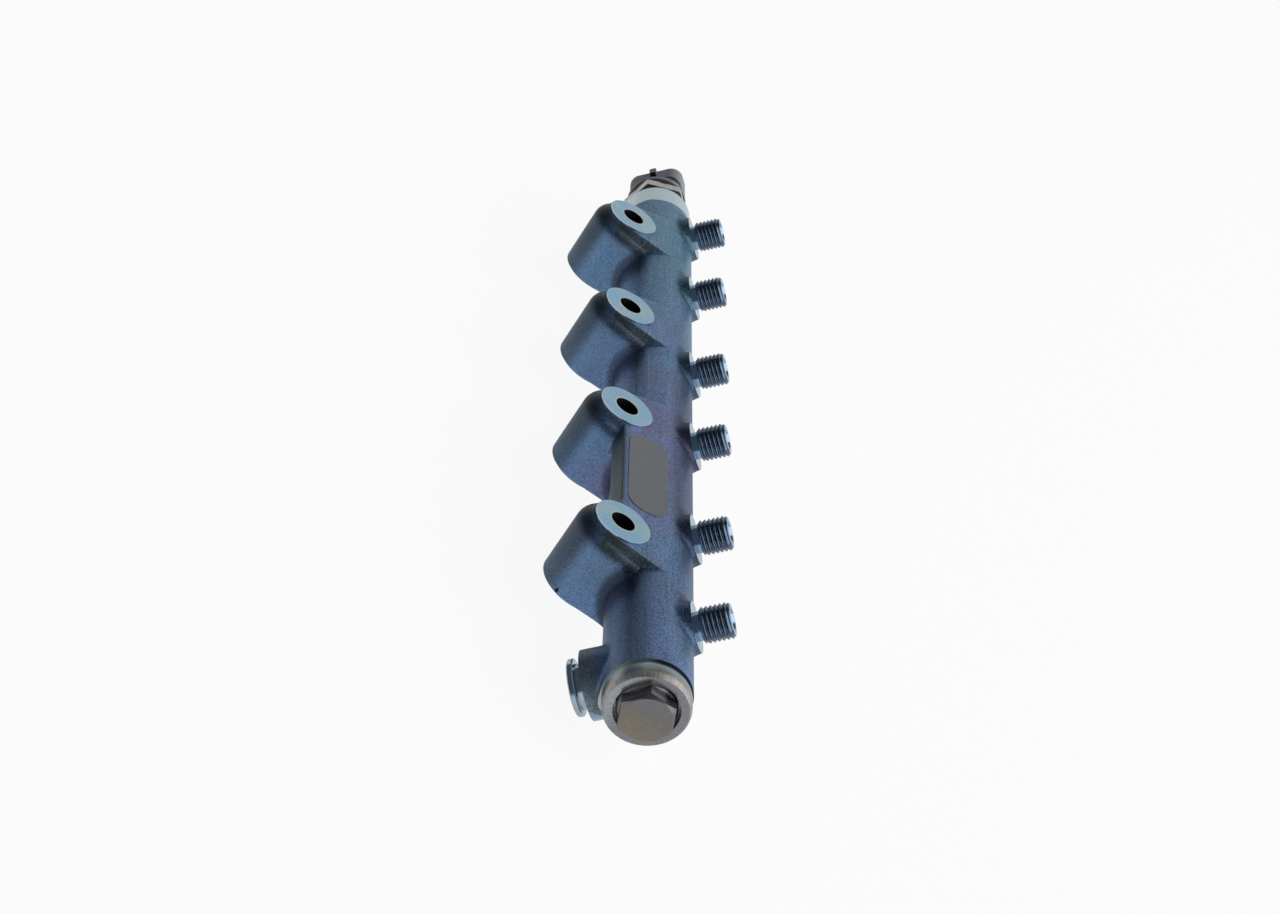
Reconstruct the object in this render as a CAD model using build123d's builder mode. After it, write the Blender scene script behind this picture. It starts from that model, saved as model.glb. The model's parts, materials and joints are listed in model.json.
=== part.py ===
from build123d import *
import math
import os

os.makedirs("parts", exist_ok=True)

# Frame: the origin is the middle of the bolt line on the seat plane, +Z points up the bolts,
# +Y runs along the rail to the sensor end and +X points to the side of the injector ports.
# All sizes are millimetres. Places along the rail are measured from the near end face.

# Rail tube
axis_x = 18.7            # rail axis beside the bolt line
axis_z = 15.1            # rail axis above the seat plane, and below the bolt pads
body_length = 337.0
near_overhang = 72.0     # near end face to the first bolt
far_overhang = 44.5      # last bolt to the far end face
forged_r = 14.5
bore_r = 5.0
near_ring_r = 14.1
near_ring_length = 7.7
near_face_r = 13.15
near_edge_break = 0.6
near_bevel_length = 1.9
far_ring_r = 13.9
far_ring_length = 13.0
far_chamfer = 0.6
turning_relief_width = 1.8
turning_relief_depth = 0.35
turning_sweep = 12.0     # how far out of the forged skin the facing cuts reach

# Bolt lugs
lug_count = 4
bolt_hole_r = 4.3
tower_r = 13.7
tower_flare = 19.6       # degrees each flank opens toward the tube, at the tower top
tower_base_flare = 14.0  # the same at the underside, so the flanks lean in below
tower_overrun = 1.0      # how far the tower runs past the rail axis, inside the tube
tower_foot_r = 5.0       # concave blend of the flanks into the tube
tower_base_gap = 0.65    # forged underside above the machined seat
tower_base_edge_r = 1.2
tower_edge_r = 5.5       # outer rim of the tower top
ledge_rise = 11.3        # tower top above the rail axis, at the bolt
ledge_tilt = 5.0         # degrees the tower top climbs toward its outer end
web_r = 10.4
web_flare = 17.0
web_draft = 22.0         # degrees the web closes in toward its top
web_foot_r = 1.5         # concave blend of the web into the tower top
web_edge_r = 0.6
web_gap = 0.65           # web top below the bolt pad
pad_r = 10.15
pad_outer_r = 10.35      # the milled pad is wider beside the web's start
pad_outer_start = 205.0
pad_outer_end = 238.0
seat_r = 12.0

# Label land between the first two lugs
land_reach = 19.2        # outer edge of the land from the rail axis
land_thickness = 8.85
land_draft = 5.0         # degrees the wall of the land leans
land_edge_r = 0.8
land_base_edge_r = 2.0
label_width = 15.0
label_end_gap = 13.45    # from the bolts at both ends to the label
label_corner_r = 6.5
label_thickness = 0.2
label_centre_reach = 9.5

# Trimmed flash strip of the forging
flash_start = 122.0
flash_end = 140.0
flash_height = 0.2

# Injector ports
port_angle = 45.0
port_pairs = 3
port_spacing = 50.5      # between the two ports of a pair
first_port_y = 39.25
last_port_gap = 26.75    # last port to the far end face
port_boss_r = 8.5
port_boss_draft = 12.0
port_boss_blend_r = 2.6
port_seat_rise = 1.5     # seat face of the boss above the forged tube
port_neck_r = 4.8
port_neck_length = 1.5
port_thread_root_r = 5.08
port_stud_length = 11.8  # seat face to tip
port_tip_break = 0.1
port_cone_mouth_r = 3.9
port_cone_half_angle = 30.0
port_drill_r = 1.5

# Throttles pressed into the port drillings
throttle_sink = 6.0      # start of the throttle below the forged tube
throttle_length = 6.0
throttle_orifice_r = 0.425
throttle_funnel = 0.5
press_gap = 0.01

# Return boss and its flanged fitting
return_angle = 225.0
return_y = 19.6
return_boss_r = 11.4
return_boss_rise = 4.9   # face of the boss above the forged tube
return_boss_blend_r = 2.6
return_neck_r = 7.4
return_neck_length = 2.6
return_collar_r = 9.3
return_collar_length = 2.0
return_collar_break = 0.35
return_shank_r = 6.0
return_shank_length = 7.0
return_shank_gap = 0.4
return_groove_depth = 5.4  # middle of the seal groove below the boss face
return_socket_r = 4.0
return_socket_length = 9.0
return_drill_r = 2.5
return_seal_section_r = 0.8
thread_gap = 0.05
seal_gap = 0.02
groove_play = 0.4

# Pressure limiting valve
valve_hex = 17.0
valve_hex_turn = 22.0    # degrees from corner up, seen from the near end
valve_hex_rise = 4.6
valve_hex_chamfer_r = 8.1
valve_hex_chamfer_rise = 1.0
valve_flange_r = 9.7
valve_flange_sink = 0.5
valve_flange_break = 0.7
valve_flange_length = 2.5
valve_flange_gap = 0.3
valve_counterbore_r = 10.6
valve_thread_r = 8.0
valve_relief_r = 7.0
valve_relief_length = 1.2
valve_groove_y = 13.4
valve_seal_section_r = 0.9
valve_nose_r = 6.0
valve_nose_y = 15.4
valve_tip_y = 25.0
valve_tip_chamfer = 0.8
valve_cavity_r = 4.2
valve_cavity_y = 4.4
valve_outlet_r = 1.1
valve_outlet_count = 4
seat_disc_length = 3.0
seat_hole_r = 1.0
seat_cone_r = 1.9
plunger_gap = 0.05
plunger_guide_length = 4.8
plunger_guide_y = 18.4   # end of the guide, just short of the outlet holes
plunger_neck_r = 2.4
plunger_tip_r = 0.5
plunger_flat = 3.75      # flats that let fuel past the guide, from the axis
plunger_pocket_r = 3.1
plunger_pocket_floor = 1.4
plunger_seat_gap = 0.02
spring_wire_r = 0.45
spring_r = 2.5
spring_turns = 5.0
spring_seat_gap = 0.05
shim_length = 0.8
shim_gap = 0.1

# Rail pressure sensor
sensor_thread_r = 9.0
sensor_bore_length = 17.0
sensor_nose_length = 2.2
sensor_nose_r = 6.6
sensor_neck_r = 8.6
sensor_neck_length = 4.0
sensor_hex = 24.0
sensor_hex_turn = 15.0
sensor_hex_corner_r = 13.6
sensor_hex_length = 4.2
sensor_cavity_r = 6.5
sensor_port_r = 1.6
sensor_port_length = 14.0
sensor_membrane = 1.0
element_r = 4.0
element_length = 2.0
spacer_wall = 1.0
spacer_length = 3.6
cavity_gap = 0.1
board_thickness = 1.2

# Sensor connector
base_r = 12.2
base_length = 5.0
base_plug_length = 1.6
connector_angle = 45.0
connector_half_width = 11.3
connector_half_height = 6.6
connector_shift = 0.5
connector_corner_r = 5.0
connector_length = 16.0
connector_wall = 1.4
socket_depth = 11.5
latch_width = 2.7
latch_height = 1.7
latch_length = 3.0
relief_depth = 1.6       # undercut between the round base and the housing end
relief_width = 2.2
pin_count = 3
pin_pitch = 4.2
pin_width = 1.5
pin_thickness = 0.64
pin_gap = 0.02
pin_tip_below_mouth = 4.6
pin_tip_bevel = 0.4
connector_seal_section_r = 0.8
connector_seal_r = 9.4

# Values worked out from the driving dimensions
hex_corner = 2 / math.sqrt(3)
tolerance = 0.01         # closeness by which faces and edges are picked
lug_pitch = (body_length - near_overhang - far_overhang) / (lug_count - 1)
lug_ys = [(i - (lug_count - 1) / 2) * lug_pitch for i in range(lug_count)]
near_y = lug_ys[0] - near_overhang
port_pair_pitch = (body_length - first_port_y - port_spacing - last_port_gap) / (port_pairs - 1)
port_ys = [
    near_y + first_port_y + pair * port_pair_pitch + place * port_spacing
    for pair in range(port_pairs)
    for place in (0, 1)
]
port_seat_reach = forged_r + port_seat_rise
port_tip_reach = port_seat_reach + port_stud_length
throttle_reach = forged_r - throttle_sink
label_length = lug_pitch - 2 * label_end_gap
label_y = (lug_ys[0] + lug_ys[1]) / 2
return_boss_reach = forged_r + return_boss_rise
return_groove_reach = return_boss_reach - return_groove_depth
web_top = 2 * axis_z - web_gap
rail_axis = Axis((axis_x, near_y, axis_z), (0, 1, 0))
valve_flange_end = valve_flange_sink + valve_flange_length
sensor_seat_y = body_length - sensor_bore_length
sensor_floor_y = sensor_seat_y + sensor_port_length + sensor_membrane
sensor_hex_y = body_length + sensor_neck_length
base_y = sensor_hex_y + sensor_hex_length
housing_y = base_y + base_length
mouth_y = housing_y + connector_length


# Section plane across the rail, seen from the near end: local x is +X and local y is +Z.
def across(y):
    return Plane(origin=(axis_x, near_y + y, axis_z), x_dir=(1, 0, 0), z_dir=(0, -1, 0))


# Section plane of the connector: local x is its wide axis and local y its thin axis.
def across_connector(y):
    wide = outward(connector_angle)
    centre = rail_axis.position + Vector(0, y, 0) + wide * connector_shift
    return Plane(origin=centre, x_dir=wide, z_dir=(0, -1, 0))


# Half-section plane through the rail axis: local x is the radius and local y runs to the far end.
def lengthwise(y):
    return Plane(origin=(axis_x, near_y + y, axis_z), x_dir=(1, 0, 0), z_dir=(0, 0, 1))


# Unit direction away from the rail axis, at an angle from +X toward +Z.
def outward(angle):
    return Vector(math.cos(math.radians(angle)), 0, math.sin(math.radians(angle)))


# Half-section plane through a spoke: local x is the radius about it and local y runs outward.
def spoke(y, angle):
    run = outward(angle)
    return Plane(origin=(axis_x, y, axis_z), x_dir=(0, 1, 0), z_dir=(run.Z, 0, -run.X))


def spoke_axis(y, angle):
    return Axis((axis_x, y, axis_z), outward(angle))


# Lug outline seen from above: a round outer end and two flanks that open toward the tube.
def lug_outline(radius, flare, reach):
    lean = math.radians(flare)
    touch = Vector(-radius * math.sin(lean), radius * math.cos(lean))
    end = Vector(reach, touch.Y + (reach - touch.X) * math.tan(lean))
    with BuildLine() as outline:
        ThreePointArc((touch.X, touch.Y), (-radius, 0), (touch.X, -touch.Y))
        Polyline((touch.X, -touch.Y), (end.X, -end.Y), (end.X, end.Y), (touch.X, touch.Y))
    make_face(outline.edges())


# Edges where a boss along a spoke meets the forged tube.
def boss_joint(body, y, angle, reach_r):
    run = outward(angle)
    found = []
    for edge in body.edges():
        points = [edge @ t - Vector(axis_x, y, axis_z) for t in (0.1, 0.5, 0.9)]
        on_tube = all(abs(math.hypot(p.X, p.Z) - forged_r) < tolerance for p in points)
        near_spoke = all(p.dot(run) > 0 and (p - run * p.dot(run)).length < reach_r for p in points)
        if on_tube and near_spoke:
            found.append(edge)
    return found


# Height of the tilted tower top.
def ledge_z(x):
    return axis_z + ledge_rise - math.tan(math.radians(ledge_tilt)) * x


# Form of a lug: everything between the forged underside and the tilted tower top, and the web that
# stands on it, blended in at its foot and rounded along its top edge.
tower_span = 4 * tower_r
tower_height = 4 * forged_r
form_start = -2 * tower_r
form_end = 2 * axis_x
with BuildPart() as lug_form:
    with BuildSketch(Plane.XZ.offset(-tower_span / 2)):
        Polygon(
            (form_start, tower_base_gap),
            (form_end, tower_base_gap),
            (form_end, ledge_z(form_end)),
            (form_start, ledge_z(form_start)),
            align=None,
        )
    extrude(amount=tower_span)
    with BuildSketch(Plane.XY.offset(axis_z)):
        lug_outline(web_r, web_flare, axis_x)
    extrude(amount=web_top - axis_z)
    web_sides = [
        face
        for face in lug_form.faces()
        if abs(face.normal_at().Z) < tolerance
        and abs(face.bounding_box().max.Z - web_top) < tolerance
        and face.center().X < axis_x - tolerance
    ]
    draft(web_sides, Plane.XY.offset(web_top), web_draft)
    web_feet = [
        edge
        for edge in lug_form.edges()
        if all(abs((edge @ t).Z - ledge_z((edge @ t).X)) < tolerance for t in (0, 0.5, 1))
        and abs((edge @ 0.5).Y) < tower_span / 2 - tolerance
        and form_start + tolerance < (edge @ 0.5).X < form_end - tolerance
    ]
    fillet(web_feet, web_foot_r)
    web_rims = [
        edge
        for edge in lug_form.edges()
        if abs((edge @ 0.5).Z - web_top) < tolerance and (edge @ 0.5).X < axis_x - tolerance
    ]
    fillet(web_rims, web_edge_r)

# Lug tower
# A tall prism, lofted so that its flanks lean, meets the tube and the joint is blended all round.
# The prism is then cut to the lug's form, and its rims are rounded.
flare_slope = (
    math.tan(math.radians(tower_flare)) - math.tan(math.radians(tower_base_flare))
) / (axis_z + ledge_rise - tower_base_gap)
with BuildPart() as tower:
    for prism_z in (axis_z - tower_height / 2, axis_z + tower_height / 2):
        spread = math.tan(math.radians(tower_base_flare)) + flare_slope * (prism_z - tower_base_gap)
        with BuildSketch(Plane.XY.offset(prism_z)):
            lug_outline(tower_r, math.degrees(math.atan(spread)), axis_x + tower_overrun)
    loft(ruled=True)
    with BuildSketch(Plane(origin=(axis_x, -tower_span / 2, axis_z), x_dir=(1, 0, 0), z_dir=(0, -1, 0))):
        Circle(forged_r)
    extrude(amount=-tower_span)
    joint = [
        edge
        for edge in tower.edges()
        if all(
            abs(math.hypot((edge @ t).X - axis_x, (edge @ t).Z - axis_z) - forged_r) < tolerance
            and abs((edge @ t).Y) < tower_span / 2 - tolerance
            for t in (0, 0.5, 1)
        )
    ]
    fillet(joint, tower_foot_r)
    add(lug_form.part, mode=Mode.INTERSECT)
    rim = tower.edges().filter_by(lambda edge: (edge @ 0.5).Z > axis_z).sort_by(Axis.X)[0]
    fillet(rim, tower_edge_r)
    base_rim = tower.edges().filter_by(lambda edge: (edge @ 0.5).Z < tower_base_edge_r).sort_by(Axis.X)[0]
    fillet(base_rim, tower_base_edge_r)

# Rail body: forged tube, lugs, webs, label land and bosses, then turned, milled and drilled
with BuildPart() as rail_body:
    with BuildSketch(across(0)):
        Circle(forged_r)
    extrude(amount=-body_length)
    # Flash strip
    with BuildSketch(across(0)):
        with BuildLine():
            CenterArc((0, 0), forged_r + flash_height, flash_start, flash_end - flash_start)
            Line((0, 0), (outward(flash_start).X * (forged_r + flash_height),
                          outward(flash_start).Z * (forged_r + flash_height)))
            Line((0, 0), (outward(flash_end).X * (forged_r + flash_height),
                          outward(flash_end).Z * (forged_r + flash_height)))
        make_face()
    extrude(amount=-body_length)
    # Lugs with their webs
    for lug_y in lug_ys:
        with Locations((0, lug_y, 0)):
            add(tower.part)
    # Label land
    land_low = web_top - axis_z - land_thickness
    land_lean = land_thickness * math.tan(math.radians(land_draft))
    with BuildSketch(across(lug_ys[0] - near_y)):
        Polygon(
            (0, land_low),
            (-land_reach - land_lean, land_low),
            (-land_reach, land_low + land_thickness),
            (0, land_low + land_thickness),
            align=None,
        )
        fillet(vertices().sort_by(Axis.X)[0], land_base_edge_r)
        fillet(vertices().group_by(Axis.Y)[-1].sort_by(Axis.X)[0], land_edge_r)
    extrude(amount=-lug_pitch)
    # Port bosses
    for port_y in port_ys:
        port_root_r = port_boss_r + port_seat_reach * math.tan(math.radians(port_boss_draft))
        with BuildSketch(spoke(port_y, port_angle)):
            Polygon(
                (0, 0), (port_root_r, 0), (port_boss_r, port_seat_reach), (0, port_seat_reach), align=None
            )
        revolve(axis=spoke_axis(port_y, port_angle))
    # Return boss
    with BuildSketch(spoke(near_y + return_y, return_angle)):
        Rectangle(return_boss_r, return_boss_reach, align=(Align.MIN, Align.MIN))
    revolve(axis=spoke_axis(near_y + return_y, return_angle))
    # Blends of the bosses into the tube
    for port_y in port_ys:
        fillet(boss_joint(rail_body, port_y, port_angle, port_root_r), port_boss_blend_r)
    fillet(
        boss_joint(rail_body, near_y + return_y, return_angle, return_boss_r + 1), return_boss_blend_r
    )
    # Turned rings at both ends
    sweep_r = forged_r + turning_sweep
    with BuildSketch(lengthwise(0)):
        Polygon(
            (near_face_r, 0),
            (near_face_r + near_edge_break, near_edge_break),
            (near_ring_r, near_bevel_length),
            (near_ring_r, near_ring_length - turning_relief_width),
            (near_ring_r - turning_relief_depth, near_ring_length - turning_relief_width),
            (near_ring_r - turning_relief_depth, near_ring_length),
            (sweep_r, near_ring_length),
            (sweep_r, -1),
            (near_face_r, -1),
            align=None,
        )
        Polygon(
            (far_ring_r - far_chamfer, body_length),
            (far_ring_r, body_length - far_chamfer),
            (far_ring_r, body_length - far_ring_length),
            (sweep_r, body_length - far_ring_length),
            (sweep_r, body_length + 1),
            (far_ring_r - far_chamfer, body_length + 1),
            align=None,
        )
    revolve(axis=rail_axis, mode=Mode.SUBTRACT)
    # Milled bolt pads and seats, and the bolt holes
    for lug_y in lug_ys:
        with BuildSketch(Plane((0, lug_y, web_top - 1))):
            Circle(pad_r)
            with BuildLine():
                CenterArc((0, 0), pad_outer_r, pad_outer_start, pad_outer_end - pad_outer_start)
                Polyline(
                    PolarLine((0, 0), pad_outer_r, pad_outer_end, mode=Mode.PRIVATE) @ 1,
                    (0, 0),
                    PolarLine((0, 0), pad_outer_r, pad_outer_start, mode=Mode.PRIVATE) @ 1,
                )
            make_face()
        extrude(amount=1 + web_gap)
        with BuildSketch(Plane((0, lug_y, 0))):
            Circle(seat_r)
        extrude(amount=tower_base_gap + 1)
        with BuildSketch(Plane((0, lug_y, 0))):
            Circle(bolt_hole_r)
        extrude(amount=2 * axis_z, mode=Mode.SUBTRACT)
    # Turned port studs
    for port_y in port_ys:
        with BuildSketch(spoke(port_y, port_angle)):
            Polygon(
                (0, bore_r),
                (port_neck_r, bore_r),
                (port_neck_r, port_seat_reach + port_neck_length),
                (port_thread_root_r, port_seat_reach + port_neck_length),
                (port_thread_root_r, port_tip_reach - port_tip_break),
                (port_thread_root_r - port_tip_break, port_tip_reach),
                (0, port_tip_reach),
                align=None,
            )
        revolve(axis=spoke_axis(port_y, port_angle))
    # Bores along the rail: valve pocket, main bore and sensor pocket
    with BuildSketch(lengthwise(0)):
        Polygon(
            (0, -1),
            (valve_counterbore_r, -1),
            (valve_counterbore_r, valve_flange_end + valve_flange_gap),
            (valve_thread_r, valve_flange_end + valve_flange_gap),
            (valve_thread_r, valve_tip_y),
            (bore_r, valve_tip_y),
            (bore_r, sensor_seat_y),
            (sensor_thread_r, sensor_seat_y),
            (sensor_thread_r, body_length + 1),
            (0, body_length + 1),
            align=None,
        )
    revolve(axis=rail_axis, mode=Mode.SUBTRACT)
    # Port drillings with their sealing cones
    cone_depth = (port_cone_mouth_r - port_drill_r) / math.tan(math.radians(port_cone_half_angle))
    for port_y in port_ys:
        with BuildSketch(spoke(port_y, port_angle)):
            Polygon(
                (0, 0),
                (port_drill_r, 0),
                (port_drill_r, port_tip_reach - cone_depth),
                (port_cone_mouth_r, port_tip_reach),
                (0, port_tip_reach),
                align=None,
            )
        revolve(axis=spoke_axis(port_y, port_angle), mode=Mode.SUBTRACT)
    # Pocket and drilling of the return fitting
    pocket_reach = return_boss_reach - return_shank_length - return_shank_gap
    with BuildSketch(spoke(near_y + return_y, return_angle)):
        Polygon(
            (0, valve_nose_r),
            (return_drill_r, valve_nose_r),
            (return_drill_r, pocket_reach),
            (return_shank_r, pocket_reach),
            (return_shank_r, return_boss_reach),
            (0, return_boss_reach),
            align=None,
        )
    revolve(axis=spoke_axis(near_y + return_y, return_angle), mode=Mode.SUBTRACT)
rail_body.part.label = "rail_body"
export_step(rail_body.part, "parts/rail_body.step")

# Label on its land
with BuildPart() as type_label:
    with BuildSketch(Plane.XY.offset(web_top)):
        with Locations((axis_x - label_centre_reach, label_y)):
            RectangleRounded(label_width, label_length, label_corner_r)
    extrude(amount=label_thickness)
type_label.part.label = "type_label"
export_step(type_label.part, "parts/type_label.step")

# Throttles, one pressed into each port drilling
for number, port_y in enumerate(port_ys, start=1):
    throttle_end = throttle_reach + throttle_length
    with BuildPart() as throttle:
        with BuildSketch(spoke(port_y, port_angle)):
            Polygon(
                (throttle_orifice_r + throttle_funnel, throttle_reach),
                (port_drill_r - press_gap, throttle_reach),
                (port_drill_r - press_gap, throttle_end),
                (throttle_orifice_r + throttle_funnel, throttle_end),
                (throttle_orifice_r, throttle_end - throttle_funnel),
                (throttle_orifice_r, throttle_reach + throttle_funnel),
                align=None,
            )
        revolve(axis=spoke_axis(port_y, port_angle))
    throttle.part.label = f"throttle_{number}"
    export_step(throttle.part, f"parts/throttle_{number}.step")

# Return fitting: threaded shank, neck and collar, with an open socket for the return line
collar_reach = return_boss_reach + return_neck_length
fitting_reach = collar_reach + return_collar_length
shank_reach = return_boss_reach - return_shank_length
return_groove_r = return_shank_r - 2 * return_seal_section_r - 2 * seal_gap
return_groove_half = return_seal_section_r + groove_play / 2
with BuildPart() as return_fitting:
    with BuildSketch(spoke(near_y + return_y, return_angle)):
        Polygon(
            (return_drill_r, shank_reach),
            (return_shank_r - thread_gap, shank_reach),
            (return_shank_r - thread_gap, return_groove_reach - return_groove_half),
            (return_groove_r, return_groove_reach - return_groove_half),
            (return_groove_r, return_groove_reach + return_groove_half),
            (return_shank_r - thread_gap, return_groove_reach + return_groove_half),
            (return_shank_r - thread_gap, return_boss_reach),
            (return_neck_r, return_boss_reach),
            (return_neck_r, collar_reach),
            (return_collar_r - return_collar_break, collar_reach),
            (return_collar_r, collar_reach + return_collar_break),
            (return_collar_r, fitting_reach - return_collar_break),
            (return_collar_r - return_collar_break, fitting_reach),
            (return_socket_r, fitting_reach),
            (return_socket_r, fitting_reach - return_socket_length),
            (return_drill_r, fitting_reach - return_socket_length),
            align=None,
        )
    revolve(axis=spoke_axis(near_y + return_y, return_angle))
return_fitting.part.label = "return_fitting"
export_step(return_fitting.part, "parts/return_fitting.step")

with BuildPart() as return_seal:
    with BuildSketch(spoke(near_y + return_y, return_angle)):
        with Locations((return_shank_r - seal_gap - return_seal_section_r, return_groove_reach)):
            Circle(return_seal_section_r)
    revolve(axis=spoke_axis(near_y + return_y, return_angle))
return_seal.part.label = "return_seal"
export_step(return_seal.part, "parts/return_seal.step")

# Pressure limiting valve: screwed body with its hexagon, flange, seal groove and hollow nose
valve_groove_half = valve_seal_section_r + groove_play / 2
valve_groove_r = valve_thread_r - 2 * valve_seal_section_r - 2 * seal_gap
valve_corner_r = hex_corner * valve_hex / 2
with BuildPart() as valve_body:
    with BuildSketch(across(-valve_hex_rise)):
        RegularPolygon(valve_corner_r, 6, rotation=30 + valve_hex_turn)
    extrude(amount=-(valve_hex_rise + valve_flange_sink))
    with BuildSketch(lengthwise(0)):
        Polygon(
            (0, -valve_hex_rise),
            (valve_hex_chamfer_r, -valve_hex_rise),
            (valve_corner_r, valve_hex_chamfer_rise - valve_hex_rise),
            (valve_corner_r, valve_flange_sink),
            (0, valve_flange_sink),
            align=None,
        )
    revolve(axis=rail_axis, mode=Mode.INTERSECT)
    with BuildSketch(lengthwise(0)):
        Polygon(
            (0, valve_flange_sink),
            (valve_flange_r - valve_flange_break, valve_flange_sink),
            (valve_flange_r, valve_flange_sink + valve_flange_break),
            (valve_flange_r, valve_flange_end),
            (valve_relief_r, valve_flange_end),
            (valve_relief_r, valve_flange_end + valve_relief_length),
            (valve_thread_r - thread_gap, valve_flange_end + valve_relief_length),
            (valve_thread_r - thread_gap, valve_groove_y - valve_groove_half),
            (valve_groove_r, valve_groove_y - valve_groove_half),
            (valve_groove_r, valve_groove_y + valve_groove_half),
            (valve_thread_r - thread_gap, valve_groove_y + valve_groove_half),
            (valve_thread_r - thread_gap, valve_nose_y),
            (valve_nose_r, valve_nose_y),
            (valve_nose_r, valve_tip_y - valve_tip_chamfer),
            (valve_nose_r - valve_tip_chamfer, valve_tip_y),
            (valve_cavity_r, valve_tip_y),
            (valve_cavity_r, valve_cavity_y),
            (0, valve_cavity_y),
            align=None,
        )
    revolve(axis=rail_axis)
    for number in range(valve_outlet_count):
        outlet = return_angle + number * 360 / valve_outlet_count
        with BuildSketch(Plane(origin=(axis_x, near_y + return_y, axis_z), z_dir=outward(outlet))):
            Circle(valve_outlet_r)
        extrude(amount=valve_nose_r + 1, mode=Mode.SUBTRACT)
valve_body.part.label = "valve_body"
export_step(valve_body.part, "parts/valve_body.step")

with BuildPart() as valve_seal:
    with BuildSketch(lengthwise(valve_groove_y)):
        with Locations((valve_thread_r - seal_gap - valve_seal_section_r, 0)):
            Circle(valve_seal_section_r)
    revolve(axis=rail_axis)
valve_seal.part.label = "valve_seal"
export_step(valve_seal.part, "parts/valve_seal.step")

# Seat disc pressed into the nose, with a cone toward the plunger
seat_y = valve_tip_y - seat_disc_length
with BuildPart() as valve_seat:
    with BuildSketch(lengthwise(seat_y)):
        Polygon(
            (seat_cone_r, 0),
            (valve_cavity_r - press_gap, 0),
            (valve_cavity_r - press_gap, seat_disc_length),
            (seat_hole_r, seat_disc_length),
            (seat_hole_r, seat_cone_r - seat_hole_r),
            align=None,
        )
    revolve(axis=rail_axis)
valve_seat.part.label = "valve_seat"
export_step(valve_seat.part, "parts/valve_seat.step")

# Plunger: cone that closes the seat, neck, and a guide with three flats and a spring pocket
plunger_start = plunger_guide_y - plunger_guide_length
pocket_floor_y = plunger_guide_y - plunger_pocket_floor
cone_tip_y = seat_y + seat_cone_r - plunger_tip_r - plunger_seat_gap
with BuildPart() as valve_plunger:
    with BuildSketch(across(plunger_start)):
        RegularPolygon(plunger_flat, 3, major_radius=False)
    extrude(amount=-plunger_guide_length)
    with BuildSketch(lengthwise(plunger_start)):
        Rectangle(valve_cavity_r - plunger_gap, plunger_guide_length, align=(Align.MIN, Align.MIN))
    revolve(axis=rail_axis, mode=Mode.INTERSECT)
    with BuildSketch(lengthwise(0)):
        Polygon(
            (0, plunger_guide_y),
            (plunger_neck_r, plunger_guide_y),
            (plunger_neck_r, cone_tip_y - plunger_neck_r + plunger_tip_r),
            (plunger_tip_r, cone_tip_y),
            (0, cone_tip_y),
            align=None,
        )
    revolve(axis=rail_axis)
    with BuildSketch(across(plunger_start)):
        Circle(plunger_pocket_r)
    extrude(amount=-(pocket_floor_y - plunger_start), mode=Mode.SUBTRACT)
valve_plunger.part.label = "valve_plunger"
export_step(valve_plunger.part, "parts/valve_plunger.step")

with BuildPart() as spring_shim:
    with BuildSketch(across(valve_cavity_y)):
        Circle(valve_cavity_r - shim_gap)
    extrude(amount=-shim_length)
spring_shim.part.label = "spring_shim"
export_step(spring_shim.part, "parts/spring_shim.step")

# Helical spring between the shim and the floor of the plunger's pocket
spring_start = valve_cavity_y + shim_length + spring_seat_gap + spring_wire_r
spring_height = pocket_floor_y - spring_seat_gap - spring_wire_r - spring_start
with BuildPart() as valve_spring:
    with BuildLine():
        coil = Helix(
            spring_height / spring_turns,
            spring_height,
            spring_r,
            center=(axis_x, near_y + spring_start, axis_z),
            direction=(0, 1, 0),
        )
    with BuildSketch(Plane(origin=coil @ 0, z_dir=coil % 0)):
        Circle(spring_wire_r)
    sweep(is_frenet=True)
valve_spring.part.label = "valve_spring"
export_step(valve_spring.part, "parts/valve_spring.step")

# Sensor body: nose, threaded shank, neck and hexagon, drilled up to a thin membrane
with BuildPart() as sensor_body:
    with BuildSketch(across(sensor_hex_y)):
        RegularPolygon(hex_corner * sensor_hex / 2, 6, rotation=sensor_hex_turn)
    extrude(amount=-sensor_hex_length)
    with BuildSketch(across(sensor_hex_y)):
        Circle(sensor_hex_corner_r)
    extrude(amount=-sensor_hex_length, mode=Mode.INTERSECT)
    with BuildSketch(lengthwise(0)):
        Polygon(
            (0, sensor_seat_y),
            (sensor_nose_r, sensor_seat_y),
            (sensor_nose_r, sensor_seat_y + sensor_nose_length),
            (sensor_thread_r - thread_gap, sensor_seat_y + sensor_nose_length),
            (sensor_thread_r - thread_gap, body_length),
            (sensor_neck_r, body_length),
            (sensor_neck_r, base_y),
            (0, base_y),
            align=None,
        )
    revolve(axis=rail_axis)
    with BuildSketch(across(sensor_seat_y)):
        Circle(sensor_port_r)
    extrude(amount=-sensor_port_length, mode=Mode.SUBTRACT)
    with BuildSketch(across(sensor_floor_y)):
        Circle(sensor_cavity_r)
    extrude(amount=-(base_y - sensor_floor_y), mode=Mode.SUBTRACT)
sensor_body.part.label = "sensor_body"
export_step(sensor_body.part, "parts/sensor_body.step")

# Inside the sensor: strain gauge cell on the membrane, a spacer and the circuit board
with BuildPart() as sensor_element:
    with BuildSketch(across(sensor_floor_y)):
        Circle(element_r)
    extrude(amount=-element_length)
sensor_element.part.label = "sensor_element"
export_step(sensor_element.part, "parts/sensor_element.step")

with BuildPart() as board_spacer:
    with BuildSketch(across(sensor_floor_y)):
        Circle(sensor_cavity_r - cavity_gap)
        Circle(sensor_cavity_r - cavity_gap - spacer_wall, mode=Mode.SUBTRACT)
    extrude(amount=-spacer_length)
board_spacer.part.label = "board_spacer"
export_step(board_spacer.part, "parts/board_spacer.step")

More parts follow.
